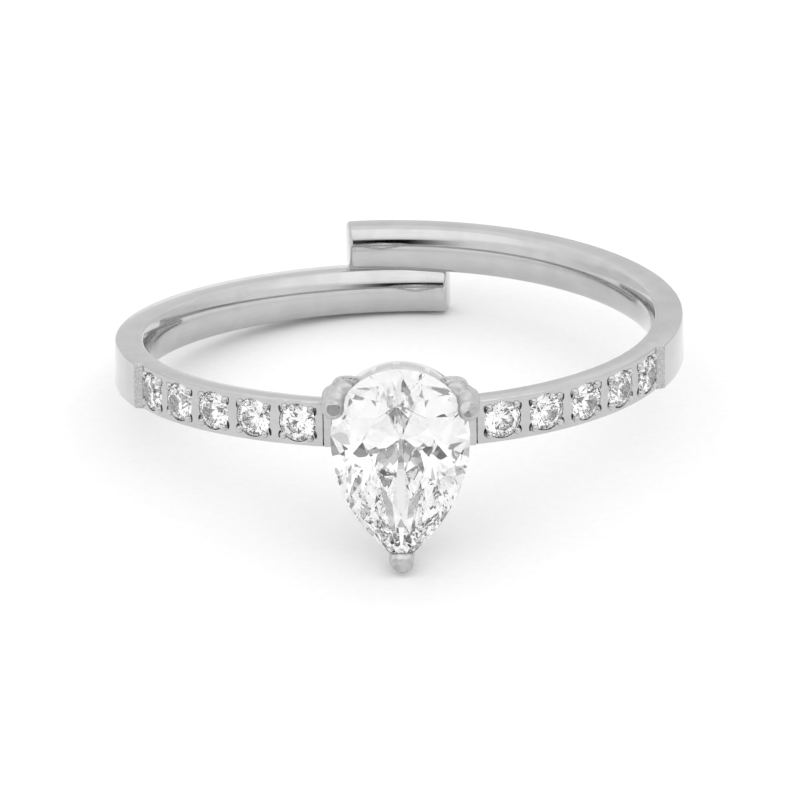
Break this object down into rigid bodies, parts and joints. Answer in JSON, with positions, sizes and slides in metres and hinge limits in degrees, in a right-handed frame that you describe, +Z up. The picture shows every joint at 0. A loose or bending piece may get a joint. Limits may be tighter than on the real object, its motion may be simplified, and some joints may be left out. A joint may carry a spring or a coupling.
{
  "type": "open pave ring with a pear stone",
  "caption": "Slim open finger ring with crossing arms, a claw-set pear stone in front and a recessed row of small round pave stones on each shoulder.",
  "frame": {"origin": "on the surface that the ring lies on, below the middle of its box", "axes": "+Z up, +X to the right as seen from the pear stone, +Y away from the pear stone; the finger goes in along Z, leaning 8.2 degrees towards +Y"},
  "size_m": [0.0208, 0.0234, 0.0075],
  "materials": {
    "steel": "polished stainless steel, with a fine satin grain in the cut steps",
    "stone": "clear faceted cubic zirconia"
  },
  "bodies": {
    "root": {"band": "steel", "pear_stone": "stone", "small_stone_left_1": "stone", "small_stone_left_2": "stone", "small_stone_left_3": "stone", "small_stone_left_4": "stone", "small_stone_left_5": "stone", "small_stone_right_1": "stone", "small_stone_right_2": "stone", "small_stone_right_3": "stone", "small_stone_right_4": "stone", "small_stone_right_5": "stone"}
  },
  "joints": []
}
